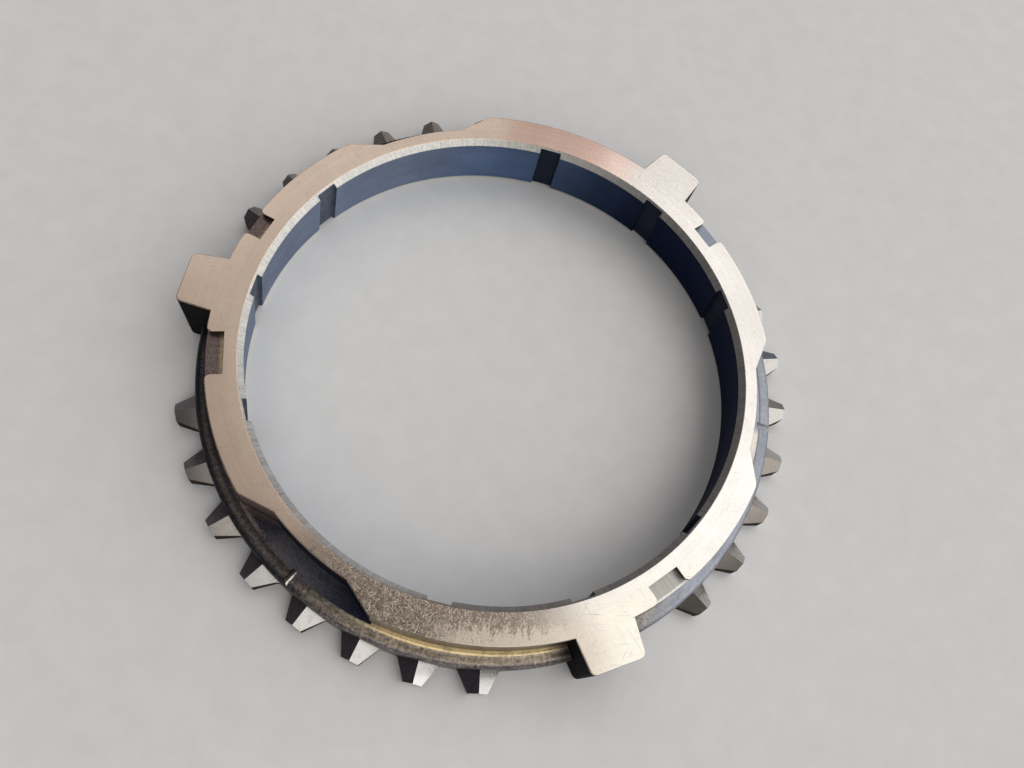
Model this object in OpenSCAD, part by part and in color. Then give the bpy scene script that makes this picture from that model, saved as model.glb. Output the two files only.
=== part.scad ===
// Synchronizer ring: a one-piece forged and machined ring with a friction cone in its bore,
// three drive lugs on the hub side and groups of pointed teeth round the gear side.
// The ring stands on its gear side, its axis is Z and the first lug points along -X.

/* [Ring] */
// Diameter of the cone's small end, at the hub side
bore_d = 60.4; // [54:0.1:70]
// Height of the whole ring
ring_h = 9; // [8:0.1:12]
// Wall from the cone's small end to the outside of the neck
wall_t = 4.3; // [3.8:0.1:6]
// Half angle of the friction cone, in degrees
cone_angle = 6.5; // [4:0.1:8]
// Chamfer on the bore's edge at the hub side
hub_chamfer = 0.7; // [0.3:0.05:1]
// Chamfer on the bore's edge at the gear side
gear_chamfer = 0.3; // [0.1:0.05:0.6]

/* [Flange] */
// How far the flange stands out from the neck
flange_reach = 2; // [1.9:0.1:3]
// Height of the flange's shoulder over the gear side
flange_t = 3.9; // [3.7:0.1:4.4]
// Hollow fillet between the neck and the shoulder
shoulder_fillet = 1; // [0.5:0.05:1.1]
// Rounding of the shoulder's outer edge
shoulder_round = 0.8; // [0.3:0.05:0.85]

/* [Lugs] */
// Number of drive lugs
lug_count = 3; // [2:1:4]
// How far a lug stands out from the neck
lug_reach = 4.1; // [3:0.1:6]
// Width of a lug at the neck
lug_root_w = 7.3; // [6:0.1:9]
// Width of a lug at its end
lug_end_w = 6.5; // [5:0.1:9]
// Rounding of a lug's outer corners
lug_corner = 0.7; // [0.3:0.05:1.5]

/* [Pockets] */
// Depth of a pocket into the neck's outside
pocket_depth = 2.1; // [1.5:0.1:2.6]
// Width of a pocket at its inner wall
pocket_inner_w = 10.8; // [8:0.1:14]
// Width of a pocket at the neck's outside
pocket_mouth_w = 19.5; // [18:0.1:24]
// Height of a pocket's floor over the flange's shoulder
pocket_floor_rise = 0.25; // [0.1:0.05:0.6]
// How far a pocket's floor runs out past the neck, into the fillet
pocket_run = 0.3; // [0.1:0.05:0.4]
// Rounding of the neck's corners at a pocket's mouth
pocket_corner = 1.2; // [0.5:0.1:2]

/* [Notches] */
// Depth of a notch below the hub face
notch_drop = 0.95; // [0.6:0.05:2]
// Depth of a notch into the neck's outside
notch_depth = 2.1; // [1:0.1:2.6]
// Width of a plain notch
notch_w = 3.2; // [2.5:0.1:5]
// Width of the one middling notch
mid_notch_w = 4.1; // [3:0.1:5]
// Width of the one wide notch
wide_notch_w = 5.3; // [4:0.1:6]
// Angle from a lug's middle to a notch's middle
notch_angle = 15.2; // [13:0.1:17]
// Turn of all the notches away from those places
notch_turn = -0.3; // [-1:0.1:1]
// Rounding of the neck's corners at a notch's mouth
notch_corner = 0.7; // [0.3:0.05:0.9]

/* [Oil grooves] */
// Width of an oil groove in the cone
groove_w = 2.8; // [2:0.1:4]
// Depth of an oil groove in the cone
groove_depth = 0.53; // [0.3:0.01:0.6]
// Angle between the oil grooves of one lug
groove_step = 30; // [20:1:36]
// Turn of the middle oil groove away from its lug's middle
groove_turn = -2; // [-5:0.5:5]

/* [Teeth] */
// Tooth places round the whole ring
tooth_places = 33; // [33:3:36]
// Teeth in the group between two lugs
teeth_per_group = 8; // [4:2:8]
// How far a tooth stands out from the flange
tooth_len = 2.5; // [1.5:0.1:3.5]
// Width of a tooth at the flange
tooth_root_w = 4.7; // [3.8:0.1:4.9]
// Width of a tooth at its tip
tooth_tip_w = 2.1; // [1.5:0.1:3]
// Height of a tooth's ridge over the gear side
tooth_ridge_z = 2.7; // [2.5:0.1:2.8]
// Slope of a tooth's two roof faces, in degrees
tooth_roof_angle = 35; // [20:1:36]
// Fillet at a tooth's root
tooth_fillet = 0.4; // [0.3:0.05:0.8]

/* [Rim marks] */
// Width of the radial mark across the rim at each pocket
mark_w = 0.8; // [0.3:0.05:1]
// Depth of the radial mark
mark_depth = 0.3; // [0.1:0.05:0.5]

/* [Hidden] */
$fn = 96;
// Cuts run past the faces that they open by this much
over = 1;
// Corner arcs cross the sides that they join by this much, so that they meet them cleanly
bite = 0.005;
bore_r = bore_d / 2;
neck_r = bore_r + wall_t;
flange_r = neck_r + flange_reach;
lug_end_x = neck_r + lug_reach;
tooth_tip_r = flange_r + tooth_len;
pocket_r = neck_r - pocket_depth;
pocket_lip_r = neck_r + pocket_run;
pocket_floor_z = flange_t + pocket_floor_rise;
notch_r = neck_r - notch_depth;
notch_floor_z = ring_h - notch_drop;
chamfer_foot_z = ring_h - hub_chamfer;
mouth_r = cone_r(gear_chamfer);
sector = 360 / lug_count;
tooth_pitch = 360 / tooth_places;
first_lug = 180;
// Each notch: the lug beside it, the side of that lug, and the notch's width
notches = [[0, 1, wide_notch_w], [0, -1, notch_w], [1, 1, mid_notch_w], [lug_count - 1, -1, notch_w]];

// Radius of the cone, carried on past the ring, at a height
function cone_r(z) = bore_r + (chamfer_foot_z - z) * tan(cone_angle);
function lug_turn(i) = first_lug + i * sector;
function pocket_turn(i) = lug_turn(i) + sector / 2;
function unit(v) = v / norm(v);
function left_of(v) = [-v[1], v[0]];
// Place along the line from p in direction d where its distance from the axis is r
function reach(p, d, r) = p + d * (sqrt((p * d) * (p * d) - p * p + r * r) - p * d);

// Corner between a straight side from p along d and the circle of radius edge_r round the axis.
// The side's free space lies to its left: web_r fills the corner of a tooth on the circle's
// outside, and the same outline opens the corner of a slot on the circle's inside.
module corner_web(p, d, web_r, edge_r, sign) {
    n = left_of(d);
    off = web_r - bite;
    centre = reach(p + n * off, d, edge_r + sign * off);
    touch = centre - n * web_r;
    on_circle = unit(centre) * edge_r;
    corner = reach(p, d, edge_r);
    depth = unit(corner - centre) * web_r / 2;
    difference() {
        polygon([centre, touch - n * web_r / 4, corner + depth, on_circle + (on_circle - centre) / 4]);
        translate(centre) circle(r = web_r);
    }
}

// The same corner on both sides of the X axis
module corner_webs(p, d, web_r, edge_r, sign) {
    corner_web(p, d, web_r, edge_r, sign);
    mirror([0, 1]) corner_web(p, d, web_r, edge_r, sign);
}

// Half section of the neck and the flange, before the bore
module section() {
    square([neck_r, ring_h]);
    difference() {
        square([flange_r, flange_t]);
        translate([flange_r - shoulder_round, flange_t - shoulder_round]) difference() {
            square(shoulder_round + over);
            circle(r = shoulder_round);
        }
    }
    difference() {
        translate([neck_r - over, flange_t - over]) square(shoulder_fillet + over);
        translate([neck_r + shoulder_fillet, flange_t + shoulder_fillet]) circle(r = shoulder_fillet);
    }
}

module blank() {
    rotate_extrude() section();
}

// Plan of one lug along +X: sides that close in a little, and rounded outer corners
module lug_plan() {
    root = [neck_r - over, lug_root_w / 2];
    end = [lug_end_x, lug_end_w / 2];
    side = unit(end - root);
    half_turn = (90 + asin(side[1])) / 2;
    back = lug_corner * tan(90 - half_turn);
    centre = [lug_end_x - lug_corner, end[1] - back];
    touch = centre + left_of(side) * lug_corner;
    polygon([
        [root[0], -root[1]], [touch[0], -touch[1]], [centre[0], -centre[1]], [lug_end_x, -centre[1]],
        [lug_end_x, centre[1]], centre, touch, root
    ]);
    for (y = [-centre[1], centre[1]])
        translate([centre[0], y]) circle(r = lug_corner);
}

module lugs() {
    for (i = [0 : lug_count - 1])
        rotate(lug_turn(i)) linear_extrude(ring_h) lug_plan();
}

// Plan of one tooth along +X, with fillets at its root
module tooth_plan() {
    inside = [flange_r - over, tooth_root_w / 2];
    root = [flange_r, tooth_root_w / 2];
    tip = [tooth_tip_r, tooth_tip_w / 2];
    polygon([
        [inside[0], -inside[1]], [root[0], -root[1]], [tip[0], -tip[1]], tip, root, inside
    ]);
    corner_webs(root, unit(tip - root), tooth_fillet, flange_r, 1);
}

// Roof over one tooth: two slopes that meet in a level ridge along +X
module tooth_roof() {
    half_w = tooth_root_w / 2 + tooth_fillet;
    eaves_z = tooth_ridge_z - half_w * tan(tooth_roof_angle);
    translate([flange_r - over, 0, 0]) rotate([90, 0, 90]) linear_extrude(tooth_len + 2 * over)
        polygon([[-half_w, 0], [half_w, 0], [half_w, eaves_z], [0, tooth_ridge_z], [-half_w, eaves_z]]);
}

module tooth() {
    intersection() {
        linear_extrude(tooth_ridge_z) tooth_plan();
        tooth_roof();
    }
}

module teeth() {
    for (i = [0 : lug_count - 1], k = [0 : teeth_per_group - 1])
        rotate(pocket_turn(i) + (k - (teeth_per_group - 1) / 2) * tooth_pitch) tooth();
}

// The friction cone with a chamfer at each end, every cut carried on past its ends
module bore() {
    translate([0, 0, -over])
        cylinder(h = ring_h + 2 * over, r1 = cone_r(-over), r2 = cone_r(ring_h + over));
    translate([0, 0, chamfer_foot_z - over])
        cylinder(h = hub_chamfer + 2 * over, r1 = bore_r - over, r2 = bore_r + hub_chamfer + over);
    translate([0, 0, -over])
        cylinder(h = gear_chamfer + 2 * over, r1 = mouth_r + gear_chamfer + over, r2 = mouth_r - over);
}

// One flat-bottomed groove along the cone, on the +X side
module oil_groove() {
    translate([0, groove_w / 2, 0]) rotate([90, 0, 0]) linear_extrude(groove_w) polygon([
        [bore_r - over, -over], [cone_r(-over) + groove_depth, -over],
        [cone_r(ring_h + over) + groove_depth, ring_h + over], [bore_r - over, ring_h + over]
    ]);
}

module oil_grooves() {
    for (i = [0 : lug_count - 1], k = [-1 : 1])
        rotate(lug_turn(i) + groove_turn + k * groove_step) oil_groove();
}

// Plan of one pocket along +X: a long recess with slanting ends
module pocket_plan() {
    half_inner = pocket_inner_w / 2;
    half_mouth = pocket_mouth_w / 2;
    inner = [sqrt(pocket_r * pocket_r - half_inner * half_inner), half_inner];
    mouth = [sqrt(neck_r * neck_r - half_mouth * half_mouth), half_mouth];
    slant = unit(mouth - inner);
    start = inner - slant * over;
    end = reach(mouth, slant, pocket_lip_r + over);
    intersection() {
        difference() {
            union() {
                polygon([[start[0], -start[1]], [end[0], -end[1]], [pocket_lip_r + over, 0], end, start]);
                corner_webs(inner, slant, pocket_corner, neck_r, -1);
            }
            circle(r = pocket_r);
        }
        circle(r = pocket_lip_r);
    }
}

module pockets() {
    for (i = [0 : lug_count - 1])
        rotate(pocket_turn(i)) translate([0, 0, pocket_floor_z])
            linear_extrude(ring_h - pocket_floor_z + over) pocket_plan();
}

// Plan of one notch along +X, with its mouth's corners rounded
module notch_plan(width) {
    translate([notch_r, -width / 2]) square([notch_depth + over, width]);
    corner_webs([notch_r, width / 2], [1, 0], notch_corner, neck_r, -1);
}

module notch_cuts() {
    for (n = notches)
        rotate(lug_turn(n[0]) + n[1] * notch_angle + notch_turn) translate([0, 0, notch_floor_z])
            linear_extrude(notch_drop + over) notch_plan(n[2]);
}

// One radial mark across the rim at the middle of each pocket, sunk below the shoulder
module rim_marks() {
    for (i = [0 : lug_count - 1])
        rotate(pocket_turn(i)) translate([neck_r, -mark_w / 2, flange_t - mark_depth])
            cube([flange_reach + over, mark_w, mark_depth + shoulder_fillet]);
}

module synchro_ring() {
    color([0.70, 0.63, 0.56]) difference() {
        union() {
            blank();
            lugs();
            teeth();
        }
        bore();
        oil_grooves();
        pockets();
        notch_cuts();
        rim_marks();
    }
}

synchro_ring();
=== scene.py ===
import math
from collections import namedtuple

import bmesh
import bpy
from mathutils import Matrix


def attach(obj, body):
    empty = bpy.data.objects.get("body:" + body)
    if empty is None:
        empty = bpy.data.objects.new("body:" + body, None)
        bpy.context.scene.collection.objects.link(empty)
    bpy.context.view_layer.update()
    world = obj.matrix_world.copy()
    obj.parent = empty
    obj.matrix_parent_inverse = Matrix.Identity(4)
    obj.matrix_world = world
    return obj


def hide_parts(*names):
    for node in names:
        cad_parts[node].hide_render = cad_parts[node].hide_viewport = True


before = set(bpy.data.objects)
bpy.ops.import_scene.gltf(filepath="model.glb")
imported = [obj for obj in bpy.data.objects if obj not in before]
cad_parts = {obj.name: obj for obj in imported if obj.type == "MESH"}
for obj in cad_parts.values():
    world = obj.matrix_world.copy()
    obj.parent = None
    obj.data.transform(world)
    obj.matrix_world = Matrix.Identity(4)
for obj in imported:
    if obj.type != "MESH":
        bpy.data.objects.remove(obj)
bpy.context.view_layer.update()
print("frame loaded, nodes:", sorted(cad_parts))

sameSpot = 0.004  # places closer than this, in mm, count as one


# Small helpers for working by hand in object and edit mode, all in millimetres
def only(ob=None):
    if bpy.context.object and bpy.context.object.mode != "OBJECT":
        bpy.ops.object.mode_set(mode="OBJECT")
    bpy.ops.object.select_all(action="DESELECT")
    if ob:
        ob.select_set(True)
        bpy.context.view_layer.objects.active = ob


def edit(ob, mode="VERT"):
    only(ob)
    bpy.ops.object.mode_set(mode="EDIT")
    bpy.ops.mesh.select_mode(type=mode)
    bpy.ops.mesh.select_all(action="DESELECT")


def pickAll():
    bpy.ops.mesh.select_all(action="SELECT")


def pickVerts(ob, test):
    mesh = bmesh.from_edit_mesh(ob.data)
    for v in mesh.verts:
        v.select = test(v.co)
    mesh.select_flush_mode()
    bmesh.update_edit_mesh(ob.data)
    return sum(v.select for v in mesh.verts)


def pickEdges(ob, test):
    bpy.ops.mesh.select_mode(type="EDGE")
    mesh = bmesh.from_edit_mesh(ob.data)
    for e in mesh.edges:
        e.select = test(e.verts[0].co, e.verts[1].co)
    mesh.select_flush_mode()
    bmesh.update_edit_mesh(ob.data)


def near(a, b):
    return abs(a - b) < sameSpot


def at(x, y, z):
    return lambda p: near(p.x, x) and near(p.y, y) and near(p.z, z)


def within(value, limits):
    return limits[0] < value < limits[1]


def polar(r, degrees, z=0.0):
    a = math.radians(degrees)
    return (r * math.cos(a), r * math.sin(a), z)


# Points on an arc, from one side of the X axis to the other
def arc(r, reach, steps, z):
    return [polar(r, reach * (2 * k / steps - 1), z) for k in range(steps + 1)]


# Draws a closed outline point by point, as a filled face
def drawOutline(name, points):
    only()
    bpy.ops.mesh.primitive_plane_add(size=0.2, location=(0, 0, 0))
    ob = bpy.context.object
    ob.name = name
    edit(ob)
    pickAll()
    bpy.ops.mesh.merge(type="CENTER")
    bpy.ops.transform.translate(value=points[0])
    for a, b in zip(points, points[1:]):
        step = (b[0] - a[0], b[1] - a[1], b[2] - a[2])
        bpy.ops.mesh.extrude_vertices_move(TRANSFORM_OT_translate={"value": step})
    pickAll()
    bpy.ops.mesh.edge_face_add()
    return ob


def addBlock(name, low, high):
    only()
    bpy.ops.mesh.primitive_cube_add(size=1)
    ob = bpy.context.object
    ob.name = name
    ob.scale = [b - a for a, b in zip(low, high)]
    ob.location = [(a + b) / 2 for a, b in zip(low, high)]
    bpy.ops.object.transform_apply()
    return ob


def roundCorner(ob, where, reach, cuts):
    bpy.ops.mesh.select_mode(type="VERT")
    if pickVerts(ob, at(*where)):
        bpy.ops.mesh.bevel(offset=reach, offset_type="OFFSET", segments=cuts,
                           affect="VERTICES", clamp_overlap=False)


def roundEdges(reach, cuts, clamp=False):
    bpy.ops.mesh.bevel(offset=reach, segments=cuts, affect="EDGES", clamp_overlap=clamp)


def raiseUp(height):
    pickAll()
    bpy.ops.mesh.extrude_region_move(TRANSFORM_OT_translate={"value": (0, 0, height)})
    pickAll()
    bpy.ops.mesh.normals_make_consistent()


# Copies a piece round the axis, each with its own mesh, and joins the copies
def goRound(ob, turns, name):
    copies = []
    for turn in turns:
        only(ob)
        bpy.ops.object.duplicate()
        copy = bpy.context.object
        copy.rotation_euler = (0, 0, math.radians(turn))
        bpy.ops.object.transform_apply()
        copies.append(copy)
    bpy.data.objects.remove(ob)
    only(copies[0])
    for copy in copies:
        copy.select_set(True)
    if len(copies) > 1:
        bpy.ops.object.join()
    copies[0].name = name
    return copies[0]


def combine(ob, other, how):
    only(ob)
    mod = ob.modifiers.new(how.lower(), "BOOLEAN")
    mod.operation = how
    mod.solver = "EXACT"
    mod.object = other
    bpy.ops.object.modifier_apply(modifier=mod.name)
    bpy.data.objects.remove(other)
    print(how.lower(), "done, faces:", len(ob.data.polygons))


# The turned ring: a half section, spun round the axis
ringForm = {
    "boreR": 30.2, "height": 9.0, "neckR": 34.5, "coneAngle": 6.5,
    "hubChamfer": 0.7, "gearChamfer": 0.3,
    "flangeR": 36.5, "flangeT": 3.9, "fillet": 1.0, "shoulderRound": 0.8,
    "edge": 0.12, "fineEdge": 0.06, "steps": 288,
}
coneSlope = math.tan(math.radians(ringForm["coneAngle"]))
slant = 0.7071  # each part of a 45 degree normal


def coneAt(z):
    f = ringForm
    return f["boreR"] + (f["height"] - f["hubChamfer"] - z) * coneSlope


def turnRing():
    f = ringForm
    h, neck, flange, t = f["height"], f["neckR"], f["flangeR"], f["flangeT"]
    bore, hub, gear = f["boreR"], f["hubChamfer"], f["gearChamfer"]
    low, high = coneAt(0), coneAt(h)
    only()
    bpy.ops.mesh.primitive_plane_add(size=1, rotation=(math.pi / 2, 0, 0))
    ring = bpy.context.object
    ring.name = "synchroRing"
    ring.scale = (neck - high, h, 1)
    ring.location = ((neck + high) / 2, 0, h / 2)
    bpy.ops.object.transform_apply()
    edit(ring)
    pickVerts(ring, at(high, 0, 0))  # lean the inner side to the cone's angle
    bpy.ops.transform.translate(value=(low - high, 0, 0))
    # the flange is pulled out of the neck's lower part
    pickAll()
    bpy.ops.mesh.bisect(plane_co=(0, 0, t), plane_no=(0, 0, 1))
    pickEdges(ring, lambda a, b: near(a.x, neck) and near(b.x, neck) and max(a.z, b.z) < t + sameSpot)
    bpy.ops.mesh.extrude_region_move(TRANSFORM_OT_translate={"value": (flange - neck, 0, 0)})
    pickAll()
    bpy.ops.mesh.dissolve_limited(angle_limit=0.01)
    # the two chamfers of the bore
    for x, z, up in [(bore, h - hub, slant), (coneAt(gear), gear, -slant)]:
        pickAll()
        bpy.ops.mesh.bisect(plane_co=(x, 0, z), plane_no=(-slant, 0, up), clear_outer=True)
    corners = [(neck, t, f["fillet"], 10), (flange, t, f["shoulderRound"], 8),
               (neck, h, f["edge"], 4), (flange, 0, f["edge"], 4)]
    for x, z in [(bore + hub, h), (bore, h - hub), (coneAt(gear), gear), (coneAt(gear) + gear, 0)]:
        corners.append((x, z, f["fineEdge"], 2))
    for x, z, reach, cuts in corners:
        roundCorner(ring, (x, 0, z), reach, cuts)
    pickAll()
    bpy.ops.mesh.delete(type="ONLY_FACE")
    pickAll()
    bpy.ops.mesh.spin(steps=f["steps"], angle=2 * math.pi, center=(0, 0, 0), axis=(0, 0, 1))
    pickAll()
    bpy.ops.mesh.remove_doubles(threshold=0.001)
    bpy.ops.mesh.normals_make_consistent()
    only(ring)
    print("ring turned, faces:", len(ring.data.polygons))
    return ring


lugForm = {"turns": (180, 300, 60), "inner": 33.0, "end": 38.6, "rootX": 33.5,
           "rootW": 7.3, "endW": 6.5, "corner": 0.7, "edge": 0.14}


def forgeLugs():
    f = lugForm
    inner, end = f["inner"], f["end"]
    lean = (f["rootW"] - f["endW"]) / 2 / (end - f["rootX"])
    innerY = f["rootW"] / 2 + (f["rootX"] - inner) * lean
    endY = f["endW"] / 2
    lug = drawOutline("lug", [(inner, -innerY, 0), (end, -endY, 0), (end, endY, 0), (inner, innerY, 0)])
    for side in (-1, 1):
        roundCorner(lug, (end, side * endY, 0), f["corner"], 8)
    raiseUp(ringForm["height"])
    pickEdges(lug, lambda a, b: near(a.z, b.z) and not (near(a.x, inner) and near(b.x, inner)))
    roundEdges(f["edge"], 4)
    only(lug)
    return goRound(lug, f["turns"], "lugs")


# A Reach is the bevel for each millimetre of radius, at a corner of that angle
toothForm = {"groups": (240, 0, 120), "perGroup": 8, "places": 33, "inner": 35.4,
             "rootW": 4.7, "tipW": 2.1, "tipR": 39.0, "ridge": 2.7, "roofAngle": 35,
             "fillet": 0.4, "filletReach": 0.607, "spread": 5.0, "sunk": 0.012,
             "spare": 0.5, "eaves": 0.2, "shortest": 0.3, "edge": 0.15}


def forgeTeeth():
    f = toothForm
    flange, inner, tip = ringForm["flangeR"], f["inner"], f["tipR"]
    rootY, tipY = f["rootW"] / 2, f["tipW"] / 2
    rootX = math.sqrt(flange ** 2 - rootY ** 2)
    lean = (rootY - tipY) / (tip - flange)
    rootY += (flange - rootX) * lean
    outX, outY, _ = polar(flange - f["sunk"], f["spread"])
    half = [(inner, outY), (outX, outY), (rootX, rootY), (tip, tipY)]
    tooth = drawOutline("tooth", [(x, -y, 0) for x, y in half] + [(x, y, 0) for x, y in reversed(half)])
    for side in (-1, 1):
        roundCorner(tooth, (rootX, side * rootY, 0), f["fillet"] * f["filletReach"], 5)
    raiseUp(f["ridge"] + f["spare"])
    roof = math.radians(f["roofAngle"])
    for side in (-1, 1):  # the two slopes of the roof
        pickAll()
        bpy.ops.mesh.bisect(plane_co=(0, 0, f["ridge"]),
                            plane_no=(0, side * math.sin(roof), math.cos(roof)),
                            clear_outer=True, use_fill=True)
    pickAll()
    bpy.ops.mesh.remove_doubles(threshold=0.001)
    bpy.ops.mesh.normals_make_consistent()
    eaves = flange + f["eaves"]
    pickEdges(tooth, lambda a, b: max(a.x, b.x) > eaves and (a - b).length > f["shortest"]
              and max(a.z, b.z) > sameSpot)
    roundEdges(f["edge"], 3, clamp=True)
    only(tooth)
    pitch = 360 / f["places"]
    middle = (f["perGroup"] - 1) / 2
    turns = [g + (k - middle) * pitch for g in f["groups"] for k in range(f["perGroup"])]
    return goRound(tooth, turns, "teeth")


# A cutter gets a thin slab over the hub face, and the corner between the two is rounded,
# so that the cut leaves a soft edge on the face
slabForm = {"clear": 0.004, "thick": 1.0, "inset": 0.01}


def addSlab(cutter, low, high, edge):
    f = slabForm
    face = ringForm["height"] + f["clear"]
    slab = addBlock("slab", (*low, face), (*high, face + f["thick"]))
    combine(cutter, slab, "UNION")
    edit(cutter, "EDGE")
    inside = lambda p: all(low[k] + f["inset"] < p[k] < high[k] - f["inset"] for k in (0, 1))
    pickEdges(cutter, lambda a, b: near(a.z, face) and near(b.z, face) and (inside(a) or inside(b)))
    roundEdges(edge, 4)
    only(cutter)


pocketForm = {"turns": (240, 0, 120), "innerR": 32.4, "innerW": 10.8, "innerSteps": 16,
              "mouthW": 19.5, "mouthRun": 0.62, "lipR": 34.8, "lipSteps": 28, "floor": 4.15,
              "corner": 1.2, "cornerReach": 0.292, "clear": 0.004, "spare": 0.6,
              "edge": 0.12, "floorEdge": 0.25, "wallDepth": 0.06, "slab": ((29, -14), (38, 14))}


def cutPockets():
    f = pocketForm
    neck, z = ringForm["neckR"], f["floor"]
    innerA = math.degrees(math.asin(f["innerW"] / 2 / f["innerR"]))
    mouthA = math.degrees(math.asin(f["mouthW"] / 2 / neck))
    edgeA, edgeR = mouthA + f["mouthRun"], neck + f["clear"]
    outline = arc(f["innerR"], innerA, f["innerSteps"], z)
    outline += [polar(neck, mouthA, z), polar(edgeR, edgeA, z)]
    outline += arc(f["lipR"], -edgeA, f["lipSteps"], z)
    outline += [polar(edgeR, -edgeA, z), polar(neck, -mouthA, z)]
    pocket = drawOutline("pocket", outline)
    for side in (-1, 1):
        roundCorner(pocket, polar(neck, side * mouthA, z), f["corner"] * f["cornerReach"], 5)
    raiseUp(ringForm["height"] - z + f["spare"])
    wall = lambda p: math.hypot(p.x, p.y) < neck - f["wallDepth"]
    pickEdges(pocket, lambda a, b: near(a.z, z) and near(b.z, z) and (wall(a) or wall(b)))
    roundEdges(f["floorEdge"], 4)
    only(pocket)
    addSlab(pocket, *f["slab"], f["edge"])
    return goRound(pocket, f["turns"], "pockets")


# Each notch has a place: its lug, the side of the lug that it lies on, and its width
notchForm = {"places": ((180, 1, 5.3), (180, -1, 3.2), (300, 1, 4.1), (60, -1, 3.2)),
             "angle": 15.2, "turn": -0.3, "floor": 8.05, "innerR": 32.4, "outerR": 36,
             "corner": 0.7, "cornerReach": 1.06, "rimRun": 1.4, "clear": 0.004, "spare": 0.6,
             "edge": 0.08, "slabR": (29, 37), "slabRun": 2.4}
notchPlaces = [lug + side * notchForm["angle"] + notchForm["turn"] for lug, side, _ in notchForm["places"]]


def cutNotches(ring):
    f = notchForm
    neck, z = ringForm["neckR"], f["floor"]
    for turn, (_, _, width) in zip(notchPlaces, f["places"]):
        half = width / 2
        sideX = math.sqrt(neck ** 2 - half ** 2)
        rimA = math.degrees(math.asin(half / neck)) + f["rimRun"]
        run = [(f["innerR"], half, z), (sideX, half, z),
               polar(neck + f["clear"], rimA, z), polar(f["outerR"], rimA, z)]
        back = [(x, -y, z) for x, y, z in reversed(run)]
        notch = drawOutline("notch", back[-1:] + run + back[:-1])
        for side in (-1, 1):
            roundCorner(notch, (sideX, side * half, z), f["corner"] * f["cornerReach"], 6)
        raiseUp(ringForm["height"] - z + f["spare"])
        only(notch)
        reach = half + f["slabRun"]
        addSlab(notch, (f["slabR"][0], -reach), (f["slabR"][1], reach), f["edge"])
        combine(ring, goRound(notch, [turn], "notchCut"), "DIFFERENCE")


grooveForm = {"width": 2.8, "depth": 0.53, "step": 30, "turn": -2,
              "past": 1.0, "inside": 1.5, "corner": 0.12}


def cutGrooves():
    f = grooveForm
    low, high = -f["past"], ringForm["height"] + f["past"]
    inner = ringForm["boreR"] - f["inside"]
    outer, half = inner + 1, f["width"] / 2
    groove = addBlock("groove", (inner, -half, low), (outer, half, high))
    edit(groove)
    for z in (low, high):  # the outer side follows the cone
        pickVerts(groove, lambda p: near(p.x, outer) and near(p.z, z))
        bpy.ops.transform.translate(value=(coneAt(z) + f["depth"] - outer, 0, 0))
    pickEdges(groove, lambda a, b: min(a.x, b.x) > outer and not near(a.z, b.z))
    roundEdges(f["corner"], 3)
    only(groove)
    turns = [lug + f["turn"] + k * f["step"] for lug in lugForm["turns"] for k in (-1, 0, 1)]
    return goRound(groove, turns, "grooves")


markForm = {"width": 0.8, "floor": 3.6, "top": 4.9, "past": 1.0, "ridge": 0.07, "rise": 0.15}


def cutMarks():
    f = markForm
    half = f["width"] / 2
    mark = addBlock("mark", (ringForm["neckR"], -half, f["floor"]),
                    (ringForm["flangeR"] + f["past"], half, f["top"]))
    edit(mark)
    pickAll()  # a low ridge along the floor
    bpy.ops.mesh.bisect(plane_co=(0, f["ridge"], 0), plane_no=(0, 1, 0))
    pickVerts(mark, lambda p: near(p.y, f["ridge"]) and near(p.z, f["floor"]))
    bpy.ops.transform.translate(value=(0, 0, f["rise"]))
    only(mark)
    return goRound(mark, pocketForm["turns"], "marks")


ring = turnRing()
combine(ring, forgeLugs(), "UNION")
combine(ring, forgeTeeth(), "UNION")
combine(ring, cutGrooves(), "DIFFERENCE")
combine(ring, cutPockets(), "DIFFERENCE")
combine(ring, cutMarks(), "DIFFERENCE")
cutNotches(ring)

edit(ring)
pickAll()
bpy.ops.mesh.remove_doubles(threshold=0.005)  # merges the close points that the cuts leave
bpy.ops.mesh.dissolve_degenerate(threshold=0.001)
only(ring)


# Node shorthand: a socket is wired in, anything else is set as a value
def put(tree, kind, wires, **settings):
    node = tree.nodes.new(kind)
    for name, value in settings.items():
        setattr(node, name, value)
    for name, value in wires.items():
        if isinstance(value, bpy.types.NodeSocket):
            tree.links.new(value, node.inputs[name])
        else:
            node.inputs[name].default_value = value
    return node


def calc(tree, how, a, b):
    return put(tree, "ShaderNodeMath", {0: a, 1: b}, operation=how).outputs[0]


def times(tree, first, *others):
    for other in others:
        first = calc(tree, "MULTIPLY", first, other)
    return first


def vector(tree, how, wires):
    return put(tree, "ShaderNodeVectorMath", wires, operation=how).outputs


def blend(tree, share, a, b, how="MIX"):
    full = lambda c: c if isinstance(c, bpy.types.NodeSocket) else (*c, 1)
    return put(tree, "ShaderNodeMix", {0: share, 6: full(a), 7: full(b)},
               data_type="RGBA", blend_type=how).outputs[2]


def span(tree, value, low, high, first=0.0, last=1.0):
    return put(tree, "ShaderNodeMapRange", {"Value": value, "From Min": low, "From Max": high,
                                            "To Min": first, "To Max": last},
               interpolation_type="SMOOTHSTEP").outputs[0]


# Takes a mask that runs from 0 to 1 to another range
def rescale(tree, mask, first, last):
    return span(tree, mask, 0.0, 1.0, first, last)


# A noise keeps mostly to its middle half, which is spread from low to high
def spread(tree, noise, low, high):
    return span(tree, noise, 0.25, 0.75, low, high)


def shade(tree, color, noise, low, high):
    return blend(tree, 1.0, color, spread(tree, noise, low, high), "MULTIPLY")


# Each finish starts from the place on the piece, in millimetres unless told otherwise
def startFinish(name, scale=1000.0):
    finish = bpy.data.materials.new(name)
    finish.use_nodes = True
    tree = finish.node_tree
    spot = put(tree, "ShaderNodeTexCoord", {}).outputs["Object"]
    return finish, tree, vector(tree, "SCALE", {0: spot, "Scale": scale})[0]


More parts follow.
